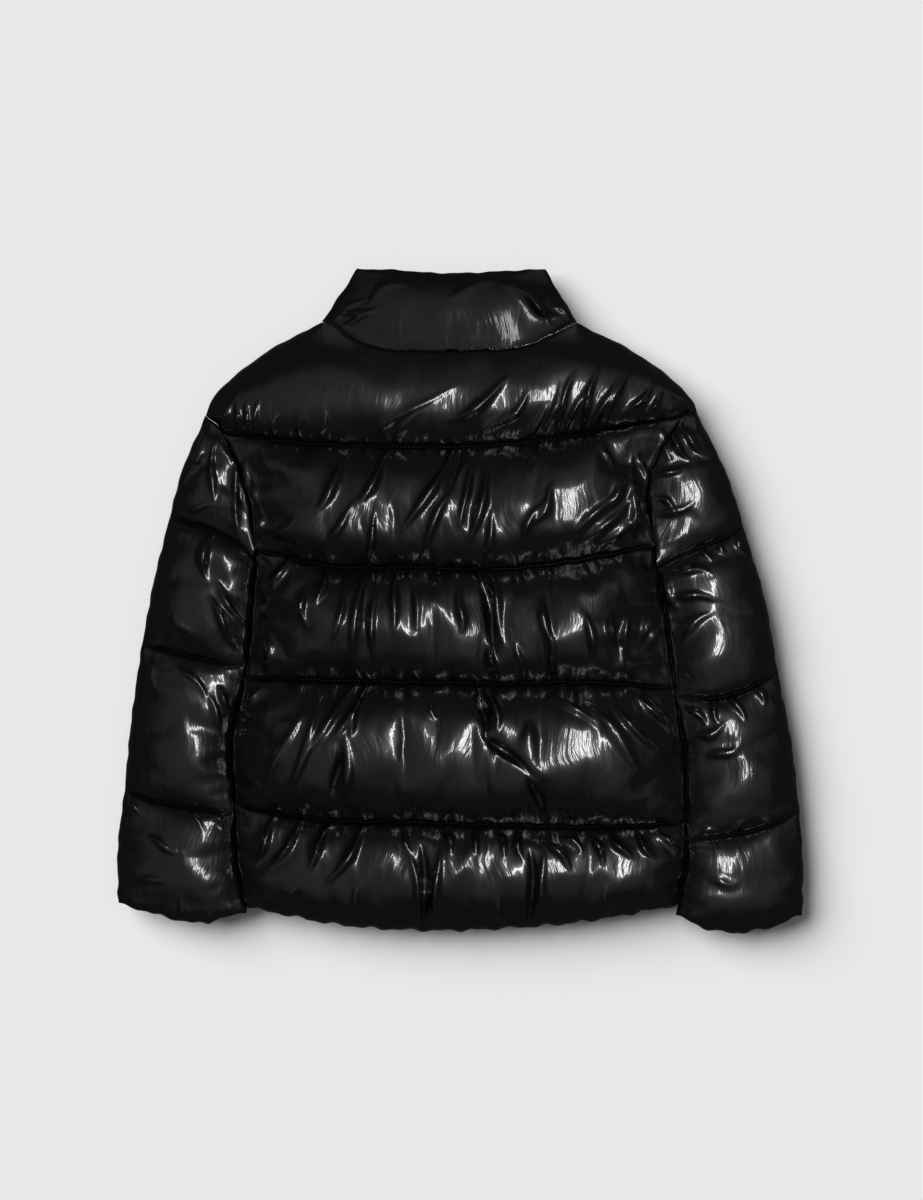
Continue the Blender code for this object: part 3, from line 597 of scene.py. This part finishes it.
def seam_gathers(grid, chance, top, bottom):
    """The short puckers that stand along a quilting seam, of uneven size and at uneven spacing."""
    rows, columns = grid.shape[:2]
    width = np.linalg.norm(grid[rows // 2, -1] - grid[rows // 2, 0])
    down = np.linalg.norm(grid[-1, columns // 2, :2] - grid[0, columns // 2, :2])
    u, v = np.linspace(0, 1, columns)[None] * width, np.linspace(0, 1, rows)[:, None] * down
    raised = np.zeros((rows, columns))
    for strength, away in ((top, v), (bottom, down - v)):
        at = -5.0
        while at < width and strength > 0:
            at += chance.uniform(7, 24)
            size, length = chance.uniform(0.2, 1.0), chance.uniform(12, 36)
            lean = chance.uniform(-0.3, 0.3)
            half_width = chance.uniform(1.8, 3.0) + away * 0.04
            across = np.exp(-(((u - at - lean * away) / half_width) ** 2))
            along = roll(away - 2, 9) * np.exp(-((away / length) ** 2))
            raised += strength * size * across * along
    side_fade = roll(u, 12) * roll(width - u, 12)
    outward = normals(grid)
    outward *= np.sign(outward[..., 2].mean())
    return grid + outward * (raised * side_fade)[..., None]


def padded_piece(name, kind, under, grid, lying, number):
    """Closes a settled section into a padded piece: its outer cloth, its sewn edges and its inner face."""
    moved = grid.reshape(lying.shape) - lying
    moved = np.clip(moved, (-MOST_SWAY, -MOST_SWAY, -MOST_SINK), (MOST_SWAY, MOST_SWAY, MOST_RISE))
    calm = smoothed(moved, CALM_ROUNDS)
    down = np.linalg.norm(lying[-1:, :, :2] - lying[:1, :, :2], axis=-1)
    v = np.linspace(0, 1, len(lying))[:, None]
    near_seam = np.exp(-np.minimum(v, 1 - v) * down / SEAM_CRUMPLE_REACH)
    kept = np.minimum(1, CRUMPLE[kind] + SEAM_CRUMPLE * near_seam)[..., None]
    moved = between(calm, smoothed(moved, 1), kept) * roll_from_edges(lying, PINNED_REACH)[..., None]
    outer = finer(lying + moved)
    chance = np.random.default_rng(100 + number)
    inner_z = INNER_PLANE_Z + (-LAYER_GAP if under else LAYER_GAP) / 2
    if under:  # it rests on the surface below, so its folds are hollows
        outer[..., 2] = np.minimum(outer[..., 2], inner_z)
        mirrored = fold_heights(outer[..., :2] * (-1, 1), HOLLOW_NARROWING)
        folds = -HOLLOW_SHARE * np.abs(mirrored)
    else:
        folds = FOLD_SHARE * fold_heights(outer[..., :2], FOLD_NARROWING)
    outer = outer + normals(outer) * (folds * roll_from_edges(outer))[..., None]
    strength = GATHERS.get(kind, BODY_GATHERS)
    top, bottom = strength * (kind not in ("yoke", "cap")), strength * (1.0 if kind == "yoke" else 0.5)
    outer = seam_gathers(outer, chance, top, bottom)
    if kind != "collar":
        outer = seam_gathers(outer.swapaxes(0, 1), chance, SIDE_GATHERS, SIDE_GATHERS).swapaxes(0, 1)
    outer[..., 2] = np.maximum(outer[..., 2], LOWEST_EDGE)
    over = np.maximum(0, outer[..., 2] - TALLEST + TOP_EASING)
    outer[..., 2] += TOP_EASING * np.tanh(over / TOP_EASING) - over
    z = np.maximum(0, inner_z - outer[..., 2]) if under else inner_z + outer[..., 2]
    outer = np.concatenate([outer[..., :2], z[..., None]], axis=-1) * MM
    rows, columns = outer.shape[0] - 1, outer.shape[1] - 1
    index = np.arange((rows + 1) * (columns + 1)).reshape(rows + 1, columns + 1)
    faces = np.stack([index[:-1, :-1], index[1:, :-1], index[1:, 1:], index[:-1, 1:]], axis=-1)
    ring = np.concatenate([index[0, :-1], index[:-1, -1], index[-1, :0:-1], index[:0:-1, 0]])
    lower = outer.reshape(-1, 3)[ring].copy()
    lower[:, 2] = inner_z * MM
    below = index.size + np.arange(len(ring))
    after = np.roll(np.arange(len(ring)), -1)
    walls = np.stack([ring, ring[after], below[after], below], axis=-1)
    quads = np.concatenate([faces.reshape(-1, 4), walls]).tolist() + [below.tolist()]
    if under:
        quads = [face[::-1] for face in quads]
    mesh = bpy.data.meshes.new(name)
    mesh.from_pydata(np.concatenate([outer.reshape(-1, 3), lower]).tolist(), [], quads)
    mesh.shade_smooth()
    mesh.set_sharp_from_angle(angle=math.radians(65))
    piece = bpy.data.objects.new(name + "_padding", mesh)
    bpy.context.scene.collection.objects.link(piece)
    return piece, outer[-1]


def padding():
    """Makes every padded piece and gives the line of the seam along each one's lower edge."""
    sections = all_sections()
    made = [section_cloth(*section, number) for number, section in enumerate(sections)]
    grids = settle([cloth for cloth, _ in made])
    for cloth, _ in made:
        bpy.data.objects.remove(cloth)
    bpy.context.scene.frame_set(1)
    seams = []
    for number, (section, (_, lying), grid) in enumerate(zip(sections, made, grids, strict=True)):
        name, kind, under = section[:3]
        piece, seam = padded_piece(name, kind, under, grid, lying, number)
        if kind not in ("hem", "cuff"):
            seams.append((seam, -1 if under else 1))
        piece.data.materials.append(nylon)
        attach(piece, "jacket")
        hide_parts(name)
    return seams


STITCH_PITCH, STITCH_LENGTH, THREAD_WIDTH = 0.0042, 0.0032, 0.0005


def placed_copies(name, model, places):
    """One mesh with a copy of a small model at every place, each given as a matrix."""
    count = len(model.data.vertices)
    corners = np.ones((count, 4))
    corners[:, :3] = [v.co for v in model.data.vertices]
    placed = np.concatenate([corners @ np.array(place).T for place in places])[:, :3]
    faces = [tuple(f.vertices) for f in model.data.polygons]
    all_faces = [tuple(v + count * k for v in face) for k in range(len(places)) for face in faces]
    mesh = bpy.data.meshes.new(name)
    mesh.from_pydata(placed.tolist(), [], all_faces)
    mesh.shade_smooth()
    mesh.set_sharp_from_angle(angle=math.radians(40))
    piece = bpy.data.objects.new(name, mesh)
    scene.collection.objects.link(piece)
    bpy.data.objects.remove(model)
    return piece


def quilting_thread(seams):
    """The stitches that show along every quilting seam."""
    bpy.ops.object.select_all(action="DESELECT")
    bpy.ops.mesh.primitive_cylinder_add(
        vertices=6, radius=THREAD_WIDTH / 2, depth=STITCH_LENGTH, rotation=(0, math.pi / 2, 0)
    )
    stitch = bpy.context.object
    bpy.ops.object.transform_apply(location=False, rotation=True, scale=False)
    bevel = stitch.modifiers.new("round_ends", "BEVEL")
    bevel.width = THREAD_WIDTH / 5
    bpy.ops.object.modifier_apply(modifier=bevel.name)
    places = []
    for seam, up in seams:
        steps = np.linalg.norm(np.diff(seam, axis=0), axis=1)
        reached = np.concatenate([[0], np.cumsum(steps)])
        for at in np.arange(STITCH_PITCH, reached[-1] - STITCH_PITCH, STITCH_PITCH):
            a, b = (
                Vector([np.interp(at + d, reached, seam[:, k]) for k in range(3)])
                for d in (-STITCH_LENGTH / 2, STITCH_LENGTH / 2)
            )
            middle = (a + b) / 2 + Vector((0, 0, up * THREAD_WIDTH * 0.3))
            turn = (b - a).to_track_quat("X", "Z").to_matrix().to_4x4()
            places.append(Matrix.Translation(middle) @ turn)
    piece = placed_copies("quilting_thread", stitch, places)
    piece.data.materials.append(polyester_thread())
    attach(piece, "jacket")


ZIP_Z = 0.021  # the middle of its thickness, above the surface that the jacket lies on
TOOTH_PITCH = 0.0028  # from one tooth to the next on the same side


def zip_place():
    """The frame of the zip: its middle, with its length along Y."""
    top, bottom = Vector((*ZIP_TOP, 0)) * MM, Vector((*ZIP_BOTTOM, 0)) * MM
    lean = math.atan2(bottom.x - top.x, top.y - bottom.y)
    middle = (top + bottom) / 2 + Vector((0, 0, ZIP_Z))
    return Matrix.Translation(middle) @ Matrix.Rotation(lean, 4, "Z"), (top - bottom).length


def zip_tapes():
    """The two woven tapes, one strip either side of the teeth."""
    place, length = zip_place()
    bpy.ops.object.select_all(action="DESELECT")
    bpy.ops.mesh.primitive_cube_add(size=1, scale=(0.0056, length, 0.0007), location=(0.0032, 0, 0))
    tape = bpy.context.object
    tape.name = "zip_tapes"
    bpy.ops.object.transform_apply(location=True, rotation=False, scale=True)
    mirror = tape.modifiers.new("other_side", "MIRROR")
    bpy.ops.object.modifier_apply(modifier=mirror.name)
    tape.data.transform(place)
    tape.data.materials.append(woven_tape())
    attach(tape, "jacket")


def zip_teeth():
    """The two rows of teeth, closed, in place of the plain chain."""
    """The chain: one tooth, repeated down the left side and, half a pitch on, down the right."""
    place, length = zip_place()
    bpy.ops.object.select_all(action="DESELECT")
    bpy.ops.mesh.primitive_cube_add(size=1, scale=(0.0036, 0.0011, 0.0024))
    tooth = bpy.context.object
    bpy.ops.object.transform_apply(location=False, rotation=False, scale=True)
    bevel = tooth.modifiers.new("cast_edges", "BEVEL")
    bevel.width = 0.00025
    bpy.ops.object.modifier_apply(modifier=bevel.name)
    count = int((length - 0.006) / TOOTH_PITCH)
    first = -count * TOOTH_PITCH / 2
    places = []
    for k in range(count):
        for side in (-1, 1):
            y = first + (k + 0.25 + side * 0.25) * TOOTH_PITCH
            places.append(place @ Matrix.Translation((side * 0.0009, y, 0)))
    piece = placed_copies("zip_teeth", tooth, places)
    piece.data.materials.append(black_metal)
    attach(piece, "jacket")
    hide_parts("zip_chain")


CREASE_DEPTH, THREAD_DEPTH = 0.0005, 0.00005  # in metres


def linear(hex_colour):
    """An sRGB hex colour as the linear colour that a shader takes."""
    channels = [int(hex_colour[i : i + 2], 16) / 255 for i in (1, 3, 5)]
    turned = [c / 12.92 if c <= 0.04045 else ((c + 0.055) / 1.055) ** 2.4 for c in channels]
    return (*turned, 1.0)


def new_material(name):
    """A new material and its shader."""
    made = bpy.data.materials.new(name)
    made.use_nodes = True
    return made, made.node_tree.nodes["Principled BSDF"]


def add_node(material, kind, settings=(), inputs=(), links=()):
    """Adds a node, with its settings and input values, and links (output, input) pairs into it."""
    node = material.node_tree.nodes.new(kind)
    for key, value in dict(settings).items():
        setattr(node, key, value)
    for key, value in dict(inputs).items():
        node.inputs[key].default_value = value
    for output, key in links:
        material.node_tree.links.new(output, node.inputs[key])
    return node


def polyester_thread():
    """Black spun polyester thread: a soft sheen over fine twisted plies."""
    made, shader = new_material("black_polyester_thread")
    place = add_node(made, "ShaderNodeTexCoord")
    # plies about 0.25 mm across
    plies = add_node(
        made,
        "ShaderNodeTexNoise",
        (),
        {"Scale": 4000.0, "Detail": 1.0},
        [(place.outputs["Object"], "Vector")],
    )
    twist = add_node(
        made,
        "ShaderNodeBump",
        (),
        {"Strength": 0.5, "Distance": 0.00005},
        [(plies.outputs["Fac"], "Height")],
    )
    made.node_tree.links.new(twist.outputs["Normal"], shader.inputs["Normal"])
    shader.inputs["Base Color"].default_value = linear("#111113")
    shader.inputs["Roughness"].default_value = 0.55
    return made


def woven_tape():
    """Matt black zip tape, a herringbone weave of fine ribs."""
    made, shader = new_material("woven_zip_tape")
    place = add_node(made, "ShaderNodeTexCoord")
    # ribs about 1.2 mm apart, coarser than a real weave so that they show
    ribs = add_node(
        made,
        "ShaderNodeTexWave",
        {"wave_type": "BANDS", "bands_direction": "DIAGONAL"},
        {"Scale": 380.0, "Distortion": 0.6, "Detail": 1.0},
        [(place.outputs["Object"], "Vector")],
    )
    tone = add_node(
        made,
        "ShaderNodeValToRGB",
        (),
        (),
        [(ribs.outputs["Fac"], "Fac")],
    )
    tone.color_ramp.elements[0].color = linear("#0C0C0D")
    tone.color_ramp.elements[1].color = linear("#1E1E20")
    raised = add_node(
        made,
        "ShaderNodeBump",
        (),
        {"Strength": 0.6, "Distance": 0.00012},
        [(ribs.outputs["Fac"], "Height")],
    )
    made.node_tree.links.new(tone.outputs["Color"], shader.inputs["Base Color"])
    made.node_tree.links.new(raised.outputs["Normal"], shader.inputs["Normal"])
    shader.inputs["Roughness"].default_value = 0.8
    shader.inputs["Sheen Weight"].default_value = 0.15
    return made


def black_zip_metal():
    """Black-plated zinc: smooth, with slight unevenness from casting."""
    made, shader = new_material("black_plated_zinc")
    place = add_node(made, "ShaderNodeTexCoord")
    # unevenness about 1.4 mm across
    cast = add_node(
        made,
        "ShaderNodeTexNoise",
        (),
        {"Scale": 700.0, "Detail": 3.0},
        [(place.outputs["Object"], "Vector")],
    )
    polish = add_node(
        made,
        "ShaderNodeMapRange",
        (),
        {"To Min": 0.22, "To Max": 0.42},
        [(cast.outputs["Fac"], "Value")],
    )
    uneven_cast = add_node(
        made,
        "ShaderNodeBump",
        (),
        {"Strength": 0.4, "Distance": 0.00003},
        [(cast.outputs["Fac"], "Height")],
    )
    made.node_tree.links.new(polish.outputs["Result"], shader.inputs["Roughness"])
    made.node_tree.links.new(uneven_cast.outputs["Normal"], shader.inputs["Normal"])
    shader.inputs["Base Color"].default_value = linear("#2B2B2D")
    shader.inputs["Metallic"].default_value = 1.0
    return made


def coated_nylon():
    """Woven nylon with a glossy film: near black, its wet highlight broken by threads and creases."""
    made, shader = new_material("glossy_coated_nylon")
    place = add_node(made, "ShaderNodeTexCoord")
    # a slow waver, about 70 mm long, that leans the creases one way and the other
    waver = add_node(
        made, "ShaderNodeTexNoise", (), {"Scale": 14.0, "Detail": 1.0}, [(place.outputs["Object"], "Vector")]
    )
    offset = add_node(
        made,
        "ShaderNodeVectorMath",
        {"operation": "MULTIPLY"},
        {1: (0.06, 0.0, 0.0)},
        [(waver.outputs["Color"], 0)],
    )
    wavering = add_node(
        made,
        "ShaderNodeVectorMath",
        {"operation": "ADD"},
        (),
        [(place.outputs["Object"], 0), (offset.outputs["Vector"], 1)],
    )

    def streaks(scale, detail):
        stretched = add_node(
            made, "ShaderNodeMapping", (), {"Scale": scale}, [(wavering.outputs["Vector"], "Vector")]
        )
        return add_node(
            made,
            "ShaderNodeTexNoise",
            (),
            {"Scale": 1.0, "Detail": detail, "Roughness": 0.55},
            [(stretched.outputs["Vector"], "Vector")],
        )

    creases = streaks((150, 26, 60), 2.0)  # about 7 mm apart and 40 mm long
    threads = streaks((900, 60, 300), 2.0)  # about 1 mm apart and 17 mm long, coarser than real threads
    creased = add_node(
        made,
        "ShaderNodeBump",
        (),
        {"Strength": 1.0, "Distance": CREASE_DEPTH},
        [(creases.outputs["Fac"], "Height")],
    )
    woven = add_node(
        made,
        "ShaderNodeBump",
        (),
        {"Strength": 1.0, "Distance": THREAD_DEPTH},
        [(threads.outputs["Fac"], "Height"), (creased.outputs["Normal"], "Normal")],
    )
    made.node_tree.links.new(woven.outputs["Normal"], shader.inputs["Normal"])
    made.node_tree.links.new(woven.outputs["Normal"], shader.inputs["Coat Normal"])
    shader.inputs["Base Color"].default_value = linear("#09090A")
    shader.inputs["Roughness"].default_value = 0.3
    shader.inputs["IOR"].default_value = 1.45
    shader.inputs["Specular IOR Level"].default_value = 0.45
    shader.inputs["Coat Weight"].default_value = 0.8
    shader.inputs["Coat Roughness"].default_value = 0.085
    return made


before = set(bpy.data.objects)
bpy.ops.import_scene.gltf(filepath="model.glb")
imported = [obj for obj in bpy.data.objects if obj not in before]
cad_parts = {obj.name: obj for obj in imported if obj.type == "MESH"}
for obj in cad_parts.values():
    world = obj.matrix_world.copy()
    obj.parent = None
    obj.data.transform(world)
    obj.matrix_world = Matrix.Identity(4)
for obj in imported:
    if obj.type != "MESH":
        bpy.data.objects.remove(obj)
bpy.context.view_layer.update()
scene = bpy.context.scene
nylon = coated_nylon()
black_metal = black_zip_metal()
quilting_thread(padding())
zip_tapes()
zip_teeth()
for node in ("zip_slider", "zip_pull"):
    for holder in bpy.data.objects[node].material_slots:
        holder.link = "OBJECT"
        holder.material = black_metal

# The floor, light and camera.
bpy.ops.object.select_all(action="DESELECT")
bpy.ops.mesh.primitive_plane_add(size=8, location=(0, 0, -0.0005))
floor = bpy.context.object
floor.name = "floor"
paper, paper_shader = new_material("pale_paper")
paper_shader.inputs["Base Color"].default_value = linear("#E9E9E9")
paper_shader.inputs["Roughness"].default_value = 0.9
paper_shader.inputs["Specular IOR Level"].default_value = 0.0
# Painted reflection shade: the floor is painted dark grey where the cloth's gloss reflects it, which darkens
# the cloth's edges; seen directly it stays pale.
seen_from = add_node(paper, "ShaderNodeLightPath")
painted_reflection_shade = add_node(
    paper,
    "ShaderNodeMix",
    {"data_type": "RGBA"},
    {6: linear("#E9E9E9"), 7: linear("#3A3A3A")},
    [(seen_from.outputs["Is Glossy Ray"], 0)],
)
paper.node_tree.links.new(painted_reflection_shade.outputs[2], paper_shader.inputs["Base Color"])
floor.data.materials.append(paper)

# A dark room whose ceiling glows softly overhead.
world = bpy.data.worlds.new("studio")
scene.world = world
world.use_nodes = True
background = world.node_tree.nodes["Background"]
background.inputs["Color"].default_value = linear("#FFFFFF")
toward = add_node(world, "ShaderNodeTexCoord")
parts = add_node(world, "ShaderNodeSeparateXYZ", (), (), [(toward.outputs["Generated"], "Vector")])
glow = add_node(
    world,
    "ShaderNodeMapRange",
    {"interpolation_type": "SMOOTHSTEP"},
    {"From Min": 0.45, "From Max": 1.0, "To Min": 0.05, "To Max": 0.24},
    [(parts.outputs["Z"], "Value")],
)
world.node_tree.links.new(glow.outputs["Result"], background.inputs["Strength"])
scene.view_settings.view_transform = "Standard"


def softbox(name, place, aim, size, watts):
    """A rectangular lamp at a place, turned to an aim."""
    light = bpy.data.lights.new(name, "AREA")
    light.shape = "RECTANGLE"
    light.size, light.size_y = size
    light.energy = watts
    holder = bpy.data.objects.new(name, light)
    holder.location = place
    holder.rotation_euler = (Vector(aim) - Vector(place)).to_track_quat("-Z", "Y").to_euler()
    scene.collection.objects.link(holder)
    return holder


strip = softbox("strip", (0.2, 0.04, 0.95), (0.2, 0.04, 0), (0.08, 0.6), 4.0)
# The collar, which the strip leaves out, has a small slanted softbox of its own.
collar_light = softbox("collar_light", (0.34, 0.14, 0.95), (0.34, 0.14, 0), (0.3, 0.1), 0.9)
collar_light.rotation_euler.z += math.radians(-36)

# A soft light from the upper left for the floor, which the strip leaves out too.
sun = bpy.data.lights.new("floor_light", "SUN")
sun.energy = 4.02
sun.angle = math.radians(50)
sun_holder = bpy.data.objects.new("floor_light", sun)
sun_holder.rotation_euler = Vector((0.9, -0.62, -1.0)).to_track_quat("-Z", "Y").to_euler()
scene.collection.objects.link(sun_holder)
collar = bpy.data.objects["collar_back_padding"]
for light, state, lit in (
    (sun_holder, "INCLUDE", (floor,)),
    (strip, "EXCLUDE", (floor, collar)),
    (collar_light, "INCLUDE", (collar,)),
):
    linked = bpy.data.collections.new(f"{light.name}_and_its_pieces")
    for k, piece in enumerate(lit):
        linked.objects.link(piece)
        linked.collection_objects[k].light_linking.link_state = state
    light.light_linking.receiver_collection = linked

camera_data = bpy.data.cameras.new("camera")
camera = bpy.data.objects.new("camera", camera_data)
scene.collection.objects.link(camera)
camera_data.lens = 85
camera.location = (0.001, 0.001, 3.025)
camera_data.clip_end = 20
scene.camera = camera
